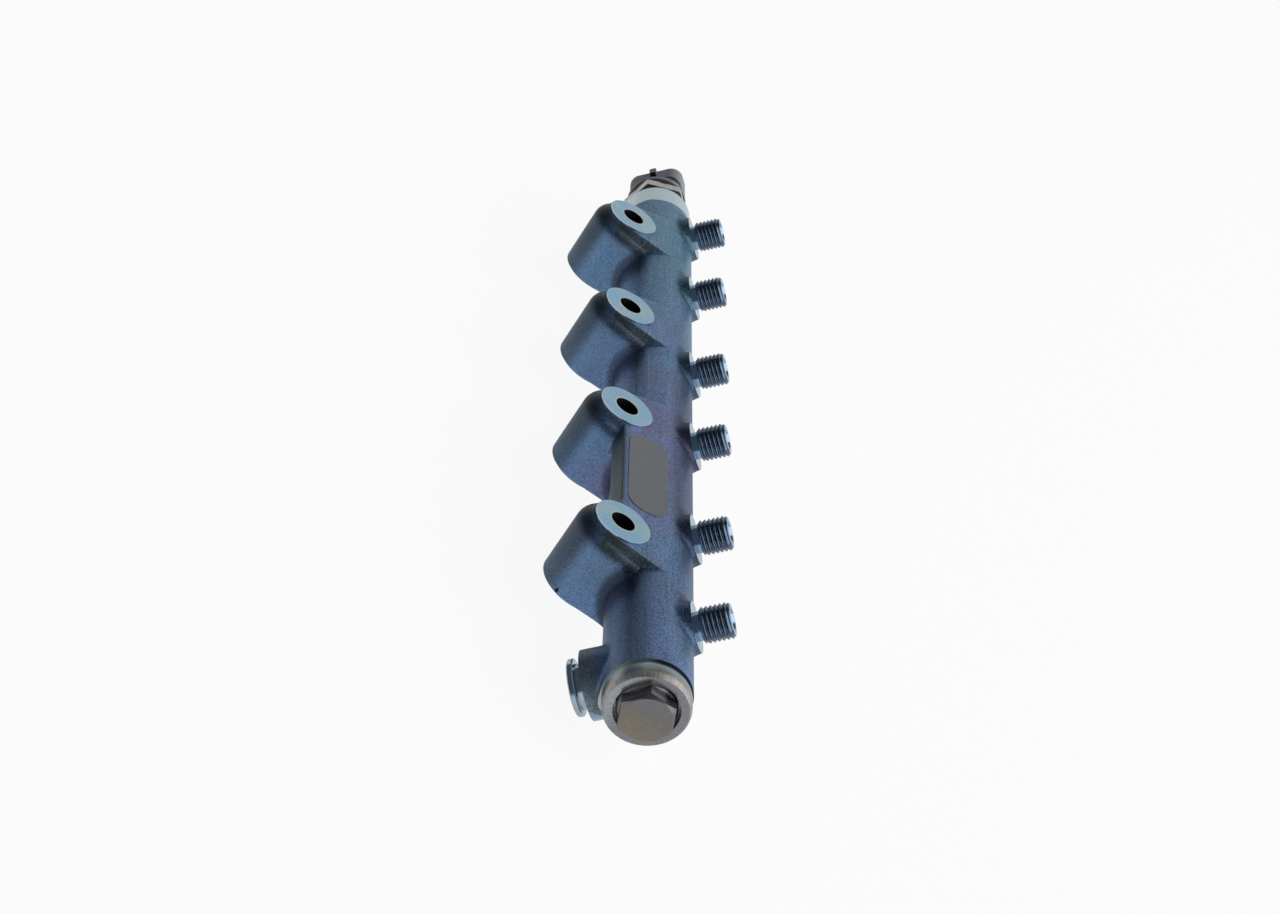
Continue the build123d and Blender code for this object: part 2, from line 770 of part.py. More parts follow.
board_top_y = sensor_floor_y + spacer_length + board_thickness
with BuildPart() as sensor_board:
    with BuildSketch(across(board_top_y - board_thickness)):
        Circle(sensor_cavity_r - cavity_gap)
    extrude(amount=-board_thickness)
sensor_board.part.label = "sensor_board"
export_step(sensor_board.part, "parts/sensor_board.step")

# Connector housing: spigot, round base with a seal groove, and the oval shell with its socket
connector_seal_groove = 2 * connector_seal_section_r + seal_gap
pin_places = [((i - (pin_count - 1) / 2) * pin_pitch, 0) for i in range(pin_count)]
with BuildPart() as connector_housing:
    with BuildSketch(across(base_y - base_plug_length)):
        Circle(sensor_cavity_r - cavity_gap)
    extrude(amount=-(base_plug_length + base_length))
    with BuildSketch(across(base_y)):
        Circle(base_r)
    extrude(amount=-base_length)
    with BuildSketch(across_connector(housing_y)):
        RectangleRounded(2 * connector_half_width, 2 * connector_half_height, connector_corner_r)
    extrude(amount=-connector_length)
    with BuildSketch(across_connector(mouth_y - latch_length)):
        with Locations((0, connector_half_height)):
            Rectangle(latch_width, 2 * latch_height)
    extrude(amount=-latch_length)
    with BuildSketch(across_connector(mouth_y - socket_depth)):
        RectangleRounded(
            2 * (connector_half_width - connector_wall),
            2 * (connector_half_height - connector_wall),
            connector_corner_r - connector_wall,
        )
    extrude(amount=-socket_depth, mode=Mode.SUBTRACT)
    with BuildSketch(across_connector(housing_y)):
        with Locations((connector_half_width, 0)):
            Rectangle(2 * relief_depth, 3 * connector_half_height)
    extrude(amount=-relief_width, mode=Mode.SUBTRACT)
    with BuildSketch(across_connector(base_y - base_plug_length)):
        with Locations(*pin_places):
            Rectangle(pin_width + 2 * pin_gap, pin_thickness + 2 * pin_gap)
    extrude(amount=-(mouth_y - base_y + base_plug_length), mode=Mode.SUBTRACT)
    with BuildSketch(across(base_y)):
        Circle(connector_seal_r + connector_seal_section_r + groove_play / 2)
        Circle(connector_seal_r - connector_seal_section_r - groove_play / 2, mode=Mode.SUBTRACT)
    extrude(amount=-connector_seal_groove, mode=Mode.SUBTRACT)
connector_housing.part.label = "connector_housing"
export_step(connector_housing.part, "parts/connector_housing.step")

with BuildPart() as connector_seal:
    with BuildSketch(lengthwise(base_y + connector_seal_section_r)):
        with Locations((connector_seal_r, 0)):
            Circle(connector_seal_section_r)
    revolve(axis=rail_axis)
connector_seal.part.label = "connector_seal"
export_step(connector_seal.part, "parts/connector_seal.step")

# Contact pins, from the board to just below the mouth of the socket
pin_length = mouth_y - pin_tip_below_mouth - board_top_y
for number, place in enumerate(pin_places, start=1):
    with BuildPart() as contact_pin:
        with BuildSketch(across_connector(board_top_y)):
            with Locations(place):
                Rectangle(pin_width, pin_thickness)
        extrude(amount=-pin_length)
        chamfer(contact_pin.faces().sort_by(Axis.Y)[-1].edges(), pin_tip_bevel * pin_thickness)
    contact_pin.part.label = f"contact_pin_{number}"
    export_step(contact_pin.part, f"parts/contact_pin_{number}.step")
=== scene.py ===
import json
import math

import bmesh
import bpy
import numpy as np
from mathutils import Matrix, Vector

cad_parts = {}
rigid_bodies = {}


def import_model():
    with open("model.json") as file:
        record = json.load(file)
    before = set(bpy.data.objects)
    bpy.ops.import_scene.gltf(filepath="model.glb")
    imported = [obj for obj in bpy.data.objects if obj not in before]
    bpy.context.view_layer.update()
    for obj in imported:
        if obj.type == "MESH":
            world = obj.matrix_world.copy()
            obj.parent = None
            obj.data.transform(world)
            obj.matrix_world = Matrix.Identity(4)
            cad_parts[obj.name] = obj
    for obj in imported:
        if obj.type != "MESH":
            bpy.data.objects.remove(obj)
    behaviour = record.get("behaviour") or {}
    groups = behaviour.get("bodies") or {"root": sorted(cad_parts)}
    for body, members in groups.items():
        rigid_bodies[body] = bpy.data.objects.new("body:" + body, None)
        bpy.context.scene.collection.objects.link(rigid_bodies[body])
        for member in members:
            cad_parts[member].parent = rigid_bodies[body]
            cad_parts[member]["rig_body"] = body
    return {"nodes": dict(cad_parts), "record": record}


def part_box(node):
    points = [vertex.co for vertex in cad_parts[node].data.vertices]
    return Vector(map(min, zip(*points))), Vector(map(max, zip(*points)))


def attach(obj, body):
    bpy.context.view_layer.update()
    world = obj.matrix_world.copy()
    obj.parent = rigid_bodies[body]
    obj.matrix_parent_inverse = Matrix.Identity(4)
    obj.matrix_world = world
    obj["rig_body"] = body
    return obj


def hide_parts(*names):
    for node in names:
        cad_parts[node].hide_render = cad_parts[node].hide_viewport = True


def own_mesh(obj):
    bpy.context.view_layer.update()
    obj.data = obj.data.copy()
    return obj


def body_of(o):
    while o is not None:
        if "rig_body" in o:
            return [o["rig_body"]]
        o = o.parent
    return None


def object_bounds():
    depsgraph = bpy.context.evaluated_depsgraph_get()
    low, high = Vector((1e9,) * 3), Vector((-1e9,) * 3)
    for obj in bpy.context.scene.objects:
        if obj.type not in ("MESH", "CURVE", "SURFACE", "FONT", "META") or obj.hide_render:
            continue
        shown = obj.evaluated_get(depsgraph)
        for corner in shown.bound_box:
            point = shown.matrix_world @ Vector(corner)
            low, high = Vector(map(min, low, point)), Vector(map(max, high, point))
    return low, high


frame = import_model()
cadLow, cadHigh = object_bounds()
nodes = frame["nodes"]
mounts = {mount["name"]: mount for mount in frame["record"]["mounts"]}
mm = 0.001
diagonal = math.sqrt(0.5)  # the ports and the connector's latch stand at 45 degrees
print("frame loaded,", len(nodes), "nodes")

# The rail's axis comes from the valve's seal, its two ends from the forged body
sealLow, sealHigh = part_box("valve_seal")
bodyLow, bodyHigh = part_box("rail_body")
railAxis = {
    "x": (sealLow.x + sealHigh.x) / 2,
    "z": (sealLow.z + sealHigh.z) / 2,
    "near": bodyLow.y,
    "far": bodyHigh.y,
}
portMounts = [mounts[name] for name in sorted(mounts) if name.startswith("port_")]


# Meshes

skinMerge = {
    "distance": 0.002 * mm,
    "flatAngle": 0.6,  # degrees, under which faces are joined
    "sharpAngle": 28,  # degrees, over which an edge stays sharp
}


# The piece joins the scene and rides on a CAD body.
def placePiece(name, mesh, body):
    piece = bpy.data.objects.new(name, mesh)
    bpy.context.scene.collection.objects.link(piece)
    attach(piece, body)
    return piece


# Quads of a grid that closes on itself both ways, so the surface is a ring.
def closedGridFaces(rows, columns):
    row, column = np.meshgrid(np.arange(rows), np.arange(columns), indexing="ij")
    nextRow = (row + 1) % rows
    nextColumn = (column + 1) % columns
    corners = [row * columns + column, row * columns + nextColumn,
               nextRow * columns + nextColumn, nextRow * columns + column]
    return np.stack([corner.ravel() for corner in corners], axis=1)


# The node's own triangles merged into one skin, flat parts joined, and shaded smooth between edges.
def smoothCopy(nodeName, pieceName):
    skin = bmesh.new()
    skin.from_mesh(nodes[nodeName].data)
    bmesh.ops.remove_doubles(skin, verts=skin.verts, dist=skinMerge["distance"])
    flatAngle = math.radians(skinMerge["flatAngle"])
    bmesh.ops.dissolve_limit(skin, angle_limit=flatAngle, verts=skin.verts, edges=skin.edges)
    sharpAngle = math.radians(skinMerge["sharpAngle"])
    for edge in skin.edges:
        edge.smooth = edge.is_manifold and edge.calc_face_angle(0) < sharpAngle
    for face in skin.faces:
        face.smooth = True
    mesh = bpy.data.meshes.new(pieceName)
    skin.to_mesh(mesh)
    skin.free()
    piece = placePiece(pieceName, mesh, body_of(nodes[nodeName])[0])
    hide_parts(nodeName)
    return piece


# Material helpers

# One node material with a Principled shader, and short calls that add and link its nodes.
class Finish:
    def __init__(self, name, colour, metallic, roughness):
        self.material = bpy.data.materials.new(name)
        self.material.use_nodes = True
        self.tree = self.material.node_tree
        self.shader = self.tree.nodes["Principled BSDF"]
        self.shader.inputs["Base Color"].default_value = (*colour, 1)
        self.shader.inputs["Metallic"].default_value = metallic
        self.shader.inputs["Roughness"].default_value = roughness
        self.place = self.tree.nodes.new("ShaderNodeTexCoord").outputs["Object"]
        split = self.tree.nodes.new("ShaderNodeSeparateXYZ")
        self.tree.links.new(self.place, split.inputs[0])
        self.x, self.y, self.z = split.outputs

    def put(self, socket, value):
        if hasattr(value, "is_output"):
            self.tree.links.new(value, socket)
        else:
            socket.default_value = value

    def maths(self, operation, first, second=0.0):
        node = self.tree.nodes.new("ShaderNodeMath")
        node.operation = operation
        self.put(node.inputs[0], first)
        self.put(node.inputs[1], second)
        return node.outputs[0]

    # The operation taken along the values, two at a time
    def chain(self, operation, values):
        result = values[0]
        for value in values[1:]:
            result = self.maths(operation, result, value)
        return result

    def times(self, *values):
        return self.chain("MULTIPLY", values)

    def plus(self, *values):
        return self.chain("ADD", values)

    def most(self, *values):
        return self.chain("MAXIMUM", values)

    def least(self, *values):
        return self.chain("MINIMUM", values)

    def minus(self, first, second):
        return self.maths("SUBTRACT", first, second)

    def apart(self, first, second):
        return self.maths("ABSOLUTE", self.minus(first, second))

    def above(self, value, limit):
        return self.maths("GREATER_THAN", value, limit)

    def below(self, value, limit):
        return self.maths("LESS_THAN", value, limit)

    def length(self, first, second):
        return self.maths("SQRT", self.plus(self.times(first, first), self.times(second, second)))

    def ramp(self, value, low, high, start=0.0, end=1.0):
        node = self.tree.nodes.new("ShaderNodeMapRange")
        node.interpolation_type = "SMOOTHSTEP"
        entries = {"Value": value, "From Min": low, "From Max": high, "To Min": start, "To Max": end}
        for name, entry in entries.items():
            self.put(node.inputs[name], entry)
        return node.outputs[0]

    # 1 outside the mask and the tone inside it
    def shade(self, mask, tone):
        return self.ramp(mask, 0.0, 1.0, 1.0, tone)

    # Soft changes multiplied: each coordinate has where its change starts and ends in mm, and may have
    # the strengths at both
    def zone(self, at, places):
        return self.times(*[self.ramp(at[name], low * mm, high * mm, *strengths)
                            for name, (low, high, *strengths) in places.items()])

    def noise(self, size, detail=3.0, roughness=0.55, stretch=(1, 1, 1), shift=(0, 0, 0)):
        mapping = self.tree.nodes.new("ShaderNodeMapping")
        mapping.inputs["Scale"].default_value = [part / size for part in stretch]
        mapping.inputs["Location"].default_value = shift
        self.tree.links.new(self.place, mapping.inputs["Vector"])
        node = self.tree.nodes.new("ShaderNodeTexNoise")
        node.inputs["Scale"].default_value = 1.0
        node.inputs["Detail"].default_value = detail
        node.inputs["Roughness"].default_value = roughness
        self.tree.links.new(mapping.outputs[0], node.inputs["Vector"])
        return node.outputs["Fac"]

    # Noise in lines that point away from an axis
    def ringNoise(self, across, up, radius, lines, length):
        angle = self.maths("ARCTAN2", up, across)
        vector = self.tree.nodes.new("ShaderNodeCombineXYZ")
        self.put(vector.inputs[0], self.times(angle, lines / math.pi))
        self.put(vector.inputs[1], self.maths("DIVIDE", radius, length))
        node = self.tree.nodes.new("ShaderNodeTexNoise")
        node.inputs["Scale"].default_value = 1.0
        self.tree.links.new(vector.outputs[0], node.inputs["Vector"])
        return node.outputs["Fac"]

    def mix(self, share, first, second):
        node = self.tree.nodes.new("ShaderNodeMix")
        node.data_type = "RGBA"
        self.put(node.inputs["Factor"], share)
        self.put(node.inputs["A"], first if hasattr(first, "is_output") else (*first, 1))
        self.put(node.inputs["B"], second if hasattr(second, "is_output") else (*second, 1))
        return node.outputs["Result"]

    def blend(self, share, first, second):
        node = self.tree.nodes.new("ShaderNodeMix")
        node.data_type = "FLOAT"
        self.put(node.inputs["Factor"], share)
        self.put(node.inputs["A"], first)
        self.put(node.inputs["B"], second)
        return node.outputs["Result"]

    def scale(self, colour, factor):
        node = self.tree.nodes.new("ShaderNodeVectorMath")
        node.operation = "SCALE"
        self.tree.links.new(colour, node.inputs[0])
        self.put(node.inputs["Scale"], factor)
        return node.outputs[0]

    def bump(self, height, depth, strength=1.0):
        node = self.tree.nodes.new("ShaderNodeBump")
        node.inputs["Distance"].default_value = depth
        self.put(node.inputs["Strength"], strength)
        self.tree.links.new(height, node.inputs["Height"])
        self.tree.links.new(node.outputs[0], self.shader.inputs["Normal"])

    def colour(self, value):
        self.tree.links.new(value, self.shader.inputs["Base Color"])

    def rough(self, value):
        self.tree.links.new(value, self.shader.inputs["Roughness"])


def dress(piece, finish):
    piece.data.materials.clear()
    piece.data.materials.append(finish.material)


# Rail body: forged skin with machined pads, rings and port studs in one finish

forged = {
    "metallic": 0.9,
    "roughness": 0.5,
    "skinRoughness": (0.40, 0.58),
    # Zinc on the forged skin, with painted shade for the towers' outer ends, the web and land walls and the
    # towers' feet, and painted light on the boss's lower part
    "blue": (0.160, 0.285, 0.490),
    "purple": (0.215, 0.220, 0.400),
    "green": (0.135, 0.225, 0.290),
    "greenShare": 0.5,
    "teal": (0.150, 0.300, 0.410),
    # Painted shade: the towers' outer ends
    "outerEndShade": (0.130, 0.165, 0.185),
    "outerShadeShare": 0.6,
    # Painted shade: the front walls of the webs
    "webWallShade": (0.125, 0.168, 0.205),
    # Painted shadow: the wall of the label's land
    "landWallShadow": (0.105, 0.160, 0.180),
    "bossSkin": (0.175, 0.215, 0.230),
    # Painted light: the boss lighter towards the bottom
    "bossPaintedLight": (0.300, 0.360, 0.360),
    "bossShare": 0.8,
    # Painted shadow at the towers' feet, in purple
    "footShare": 0.35,
    # Where the zinc changes and where shade and light are painted, in mm along each coordinate
    "purpleMiddle": -50 * mm,
    "shadeMiddle": -55 * mm,
    "zones": {
        "purple": {"fromPurple": (0, 75, 1.0, 0.25), "x": (0, 10, 0.55, 1.0)},
        "teal": {"y": (0, 110, 0.0, 0.8), "x": (2, 9, 0.3, 1.0)},
        "boss": {"reach": (-12, -16)},
        # Painted light on the boss's lower part
        "bossPaintedLight": {"z": (8, -6)},
        # Painted shadow along the land's wall
        "landWallShadow": {"x": (0.7, 0.0)},
        # Painted shade on the webs' front walls
        "webWallShade": {"z": (23.8, 24.9), "x": (-6.5, -4.5)},
        # Painted shade on the towers' outer ends
        "outerEndShade": {"x": (-6.5, -12), "z": (2, 24, 0.7, 1.0)},
        # Painted shade on the towers' tops
        "top": {"z": (20, 26), "x": (6, -3)},
        # Painted shade on the tube's left near the near end
        "nearLeftShade": {"acrossX": (-4, -10), "fromNear": (76, 60), "rise": (5.5, 0)},
        # Painted shade on the tube's right side
        "rightSideShade": {"acrossX": (-4, 6), "fromShade": (140, 20)},
        # Painted shadow at the towers' feet
        "foot": {"rise": (4, 0.5), "acrossX": (-1, -5), "fromBolt": (-36, -22), "z": (27.5, 24)},
        # Painted shade round the port bosses
        "portBossShade": {"reach": (10, 13.5), "fromPort": (13, 8)},
        # Painted shade, darker towards +x
        "flank": {"x": (2, 8, 1.0, 0.86)},
        "tube": {"x": (0, 8)},
    },
    # How far each painted shade darkens the zinc, and how far each mark darkens or lightens it
    "tones": {
        "outerEndShade": 0.5,
        "top": 0.6,
        "nearLeftShade": 0.7,
        "rightSideShade": 0.52,
        "foot": 0.4,
        "portBossShade": 0.5,
        "drawMark": 0.8,
        "scratch": 1.35,
    },
    # Limits of the walls
    "tubeReach": 14.8 * mm,
    "webTop": 29.5 * mm,
    "webClear": 30 * mm,
    "landStart": -2.0 * mm,
    "landHalf": 22.6 * mm,
    "landBottom": 18 * mm,
    # Clouds and grain
    "purpleCloud": {"size": 26 * mm, "detail": 4.0},
    "purpleSpots": (0.37, 0.58),
    "greenCloud": {"size": 15.6 * mm, "detail": 5.0, "shift": (3.1, 1.7, 5.3)},
    "greenSpots": (0.45, 0.75),
    "grain": {"size": 0.55 * mm, "detail": 3.0, "roughness": 0.6},
    "grainSpots": (0.32, 0.68),
    "towerGrain": (0.72, 1.30),
    "tubeGrain": (0.52, 1.55),
    "grainDepth": 0.06 * mm,
    "roughSpots": (0.2, 0.8),
    "coarseGrain": {"size": 1.1 * mm, "detail": 2.0, "roughness": 0.6, "shift": (2.3, 0.4, 1.9)},
    "coarseTone": (0.93, 1.07),
    "streaks": {"size": 0.7 * mm, "detail": 2.0, "stretch": (1, 0.03, 1)},
    "streakTone": (0.94, 1.06),
    "toneSpots": (0.35, 0.65),
    # Marks along the tube, and the pit on the first tower painted dark as its shade
    "marks": {
        "drawMark": {"x": 7.0 * mm, "edge": (0.45 * mm, 0.2 * mm)},
        "scratch": {"x": 10.1 * mm, "edge": (0.22 * mm, 0.08 * mm)},
    },
    "markTower": 17 * mm,
    "markStart": -22 * mm,
    "markStreaks": (0.40, 0.55),
    "pitShadow": (0.020, 0.022, 0.025),
    "pit": {
        "x": -8.5 * mm,
        "z": 2.0 * mm,
        "halfWidth": 0.6 * mm,
        "halfHeight": 1.35 * mm,
        "edge": (1.0, 0.7),
    },
    "pitEnd": 63 * mm,
    # Milled pads with their edges painted as a highlight, bolt holes painted dark as their shadow, and the
    # seats under the lugs
    "pad": (0.22, 0.41, 0.56),
    "padTint": (0.30, 0.43, 0.50),
    "padCloud": {"size": 11 * mm, "detail": 2.0, "shift": (0.6, 2.1, 0.2)},
    "padSpots": (0.42, 0.62),
    "padTop": 2 * railAxis["z"] - 0.3 * mm,
    "padReach": 10.75 * mm,
    # Painted highlight on the pads' edges
    "padEdgeHighlight": (0.46, 0.56, 0.58),
    "padHighlightRim": (9.8 * mm, 10.05 * mm),
    "boltEdge": (0.42, 0.46, 0.43),
    "boltRim": (4.5 * mm, 5.6 * mm, 0.8, 0.0),
    # Painted shadow inside the bolt holes
    "holeShadow": (0.030, 0.034, 0.040),
    "holeReach": 4.35 * mm,
    "seatTop": 0.1 * mm,
    # Turned ring of the near end, its lengths from the near face
    "nearFace": (0.245, 0.245, 0.262),
    # Painted light on the left of the near face
    "nearFacePaintedLight": (0.37, 0.41, 0.43),
    "nearFaceLitSide": {"acrossX": (-5, -12, 0.0, 0.8)},
    "nearEdge": (0.30, 0.29, 0.30),
    "nearBevel": (0.46, 0.41, 0.36),
    "nearBand": (0.290, 0.310, 0.270),
    "nearBandTint": (0.270, 0.350, 0.390),
    "bandCloud": {"size": 5 * mm, "detail": 3.0, "shift": (1.3, 4.1, 2.2)},
    "bandSpots": (0.40, 0.62),
    # The relief groove, painted as shadow on its right and lit on its left
    "reliefShadow": (0.090, 0.120, 0.150),
    "reliefPaintedLight": (0.420, 0.500, 0.500),
    "reliefShadowSide": {"acrossX": (-8, -2)},
    "faceLength": 0.03 * mm,
    "edgeLength": 0.62 * mm,
    "bevelLength": 1.95 * mm,
    "reliefStart": 5.88 * mm,
    "ringLength": 7.72 * mm,
    "latheLines": 70,
    "latheLength": 4 * mm,
    "latheTone": (0.86, 1.14),
    "faceRoughness": 0.2,
    "bevelRoughness": 0.5,
    "bandRoughness": 0.32,
    # Far ring, studs and the face of the return boss
    "farRing": (0.43, 0.53, 0.57),
    "farRingLength": 13.02 * mm,
    "stud": (0.26, 0.38, 0.52),
    "studReach": 15.95 * mm,
    "returnReach": 19.35 * mm,
    "returnEnd": 35 * mm,
}


# Coordinates that the rail's masks read, such as distances from its axis, near end, bolts, ports and label.
def railCoordinates(finish):
    acrossX = finish.minus(finish.x, railAxis["x"])
    acrossZ = finish.minus(finish.z, railAxis["z"])
    radius = finish.length(acrossX, acrossZ)
    lugPitch = mounts["lug_seat_2"]["pos_m"][1] - mounts["lug_seat_1"]["pos_m"][1]
    fromBolt = finish.minus(finish.maths("FLOORED_MODULO", finish.y, lugPitch), lugPitch / 2)
    labelLow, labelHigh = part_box("type_label")
    return {
        "x": finish.x,
        "y": finish.y,
        "z": finish.z,
        "acrossX": acrossX,
        "acrossZ": acrossZ,
        "radius": radius,
        "rise": finish.minus(radius, forged["tubeReach"]),
        "reach": finish.times(finish.plus(acrossX, acrossZ), diagonal),
        "fromNear": finish.minus(finish.y, railAxis["near"]),
        "fromBolt": fromBolt,
        "boltReach": finish.length(finish.x, fromBolt),
        "fromPort": finish.least(*[finish.apart(finish.y, mount["pos_m"][1]) for mount in portMounts]),
        "fromLabel": finish.apart(finish.y, (labelLow.y + labelHigh.y) / 2),
        "fromPurple": finish.apart(finish.y, forged["purpleMiddle"]),
        "fromShade": finish.apart(finish.y, forged["shadeMiddle"]),
    }


def machinedMasks(finish, at):
    onPad = finish.below(at["boltReach"], forged["padReach"])
    onBoss = finish.below(at["fromNear"], forged["returnEnd"])
    return {
        "near": finish.below(at["fromNear"], forged["ringLength"]),
        "far": finish.above(at["y"], railAxis["far"] - forged["farRingLength"]),
        "pad": finish.times(finish.above(at["z"], forged["padTop"]), onPad),
        "stud": finish.above(at["reach"], forged["studReach"]),
        "boss": finish.times(finish.below(at["reach"], -forged["returnReach"]), onBoss),
        "seat": finish.below(at["z"], forged["seatTop"]),
    }


# The dictionary's zones of tint and of painted shade and light, cut off where a wall ends: a web stands
# before its bolt, left of the rail's axis.
def railZones(finish, at):
    zones = {name: finish.zone(at, places) for name, places in forged["zones"].items()}
    front = finish.below(at["fromBolt"], 0.0)
    zones["foot"] = finish.times(zones["foot"], front)
    zones["webWallShade"] = finish.times(zones["webWallShade"], front, finish.above(at["rise"], 0.0),
                                    finish.below(at["acrossX"], 0.0), finish.below(at["z"], forged["webTop"]),
                                    finish.above(at["fromLabel"], forged["webClear"]))
    zones["landWallShadow"] = finish.times(zones["landWallShadow"], finish.below(at["fromLabel"], forged["landHalf"]),
                                     finish.above(at["x"], forged["landStart"]),
                                     finish.above(at["z"], forged["landBottom"]))
    zones["boss"] = finish.times(zones["boss"], finish.below(at["fromNear"], forged["returnEnd"]))
    return zones


# Blue zinc with purple and green clouds and teal to the far end; painted shade on the web and land walls, the
# towers' outer ends and feet, and the boss painted lighter towards the bottom as painted light.
def skinColour(finish, zones):
    purpleSpots = finish.ramp(finish.noise(**forged["purpleCloud"]), *forged["purpleSpots"])
    greenSpots = finish.ramp(finish.noise(**forged["greenCloud"]), *forged["greenSpots"])
    colour = finish.mix(finish.times(purpleSpots, zones["purple"]), forged["blue"], forged["purple"])
    colour = finish.mix(finish.times(greenSpots, forged["greenShare"]), colour, forged["green"])
    colour = finish.mix(zones["teal"], colour, forged["teal"])
    bossColour = finish.mix(zones["bossPaintedLight"], forged["bossSkin"], forged["bossPaintedLight"])
    colour = finish.mix(finish.times(zones["boss"], forged["bossShare"]), colour, bossColour)
    colour = finish.mix(zones["landWallShadow"], colour, forged["landWallShadow"])
    colour = finish.mix(zones["webWallShade"], colour, forged["webWallShade"])
    colour = finish.mix(finish.times(zones["outerEndShade"], forged["outerShadeShare"]), colour, forged["outerEndShade"])
    return finish.mix(finish.times(zones["foot"], forged["footShare"]), colour, forged["purple"])


# One draw mark and one scratch along the tube, between the towers.
def tubeMarks(finish, at, streaks):
    drawn = finish.times(finish.above(finish.maths("ABSOLUTE", at["fromBolt"]), forged["markTower"]),
                         finish.above(at["y"], forged["markStart"]),
                         finish.ramp(streaks, *forged["markStreaks"]))
    return {name: finish.times(drawn, finish.ramp(finish.apart(at["x"], mark["x"]), *mark["edge"]))
            for name, mark in forged["marks"].items()}


# The zones' painted shades, the marks and the grain multiplied; the grain is weaker on the towers than on the
# tube.
def skinTone(finish, at, zones, grain):
    streaks = finish.noise(**forged["streaks"])
    masks = {**zones, **tubeMarks(finish, at, streaks)}
    shades = [finish.shade(masks[name], tone) for name, tone in forged["tones"].items()]
    towerGrain = finish.ramp(grain, *forged["grainSpots"], *forged["towerGrain"])
    tubeGrain = finish.ramp(grain, *forged["grainSpots"], *forged["tubeGrain"])
    fine = finish.blend(zones["tube"], towerGrain, tubeGrain)
    coarse = finish.ramp(finish.noise(**forged["coarseGrain"]), *forged["toneSpots"], *forged["coarseTone"])
    along = finish.ramp(streaks, *forged["toneSpots"], *forged["streakTone"])
    return finish.times(*shades, zones["flank"], fine, coarse, along)


# The pit, painted as a dark spot of shade
def pitMask(finish, at):
    pit = forged["pit"]
    across = finish.times(finish.minus(at["x"], pit["x"]), 1 / pit["halfWidth"])
    up = finish.times(finish.minus(at["z"], pit["z"]), 1 / pit["halfHeight"])
    inside = finish.ramp(finish.length(across, up), *pit["edge"])
    return finish.times(inside, finish.below(at["fromNear"], forged["pitEnd"]))


# Pad clouds, the pad's edge painted as a highlight, and a pale ring round the bolt hole
def padColour(finish, at):
    spots = finish.ramp(finish.noise(**forged["padCloud"]), *forged["padSpots"])
    colour = finish.mix(spots, forged["pad"], forged["padTint"])
    colour = finish.mix(finish.ramp(at["boltReach"], *forged["padHighlightRim"]), colour, forged["padEdgeHighlight"])
    return finish.mix(finish.ramp(at["boltReach"], *forged["boltRim"]), colour, forged["boltEdge"])


# Face, edge break, bevel, band and relief groove of the near ring, one behind the other; the face is painted
# lighter on its left as painted light, and the groove is painted as shadow on its right and lit on its left.
def nearRingColour(finish, at):
    fromNear = at["fromNear"]
    lathe = finish.ringNoise(at["acrossX"], at["acrossZ"], at["radius"],
                             forged["latheLines"], forged["latheLength"])
    colour = finish.mix(finish.above(fromNear, forged["faceLength"]), forged["nearFace"], forged["nearEdge"])
    # The near face painted lighter on its left
    colour = finish.mix(finish.zone(at, forged["nearFaceLitSide"]), colour, forged["nearFacePaintedLight"])
    colour = finish.mix(finish.above(fromNear, forged["edgeLength"]), colour, forged["nearBevel"])
    colour = finish.scale(colour, finish.ramp(lathe, *forged["toneSpots"], *forged["latheTone"]))
    bandSpots = finish.ramp(finish.noise(**forged["bandCloud"]), *forged["bandSpots"])
    band = finish.mix(bandSpots, forged["nearBand"], forged["nearBandTint"])
    # The groove painted as shadow on its right
    reliefShadow = finish.mix(finish.zone(at, forged["reliefShadowSide"]), forged["reliefPaintedLight"], forged["reliefShadow"])
    band = finish.mix(finish.above(fromNear, forged["reliefStart"]), band, reliefShadow)
    return finish.mix(finish.above(fromNear, forged["bevelLength"]), colour, band)


def machinedRoughness(finish, at, near):
    bevel = finish.times(near, finish.above(at["fromNear"], forged["faceLength"]))
    band = finish.times(near, finish.above(at["fromNear"], forged["bevelLength"]))
    roughness = finish.blend(bevel, forged["faceRoughness"], forged["bevelRoughness"])
    return finish.blend(band, roughness, forged["bandRoughness"])


def railFinish():
    finish = Finish("forgedZinc", forged["blue"], forged["metallic"], forged["roughness"])
    at = railCoordinates(finish)
    zones = railZones(finish, at)
    masks = machinedMasks(finish, at)
    machined = finish.most(*masks.values())
    grain = finish.noise(**forged["grain"])
    colour = finish.scale(skinColour(finish, zones), skinTone(finish, at, zones, grain))
    # The pit painted dark as its shade
    colour = finish.mix(pitMask(finish, at), colour, forged["pitShadow"])
    colour = finish.mix(masks["pad"], colour, padColour(finish, at))
    # Bolt holes painted dark as their shadow
    colour = finish.mix(finish.below(at["boltReach"], forged["holeReach"]), colour, forged["holeShadow"])
    colour = finish.mix(masks["near"], colour, nearRingColour(finish, at))
    colour = finish.mix(masks["far"], colour, forged["farRing"])
    colour = finish.mix(finish.most(masks["stud"], masks["boss"], masks["seat"]), colour, forged["stud"])
    finish.colour(colour)
    skinRoughness = finish.ramp(grain, *forged["roughSpots"], *forged["skinRoughness"])
    finish.rough(finish.blend(machined, skinRoughness, machinedRoughness(finish, at, masks["near"])))
    finish.bump(grain, forged["grainDepth"], finish.minus(1.0, machined))
    return finish


dress(smoothCopy("rail_body", "railBody"), railFinish())
print("rail body dressed")


# Port threads

thread = {
    "crest": 6.0 * mm,
    "pitch": 1.5 * mm,
    "depth": 0.62 * mm,
    "tip": 5.16 * mm,
    "chamfer": 0.95 * mm,
    "leadIn": 0.5 * mm,
    "sink": 0.15 * mm,
    "columns": 72,
    "rowsPerTurn": 12,
    "colour": (0.105, 0.148, 0.210),
    "tint": (0.085, 0.123, 0.180),
    "streak": {"size": 0.9 * mm, "detail": 3.0},
    "tintSpots": (0.3, 0.7),
    "roughSpots": (0.2, 0.8),
    "roughness": 0.2,
    "roughRange": (0.18, 0.24),
}


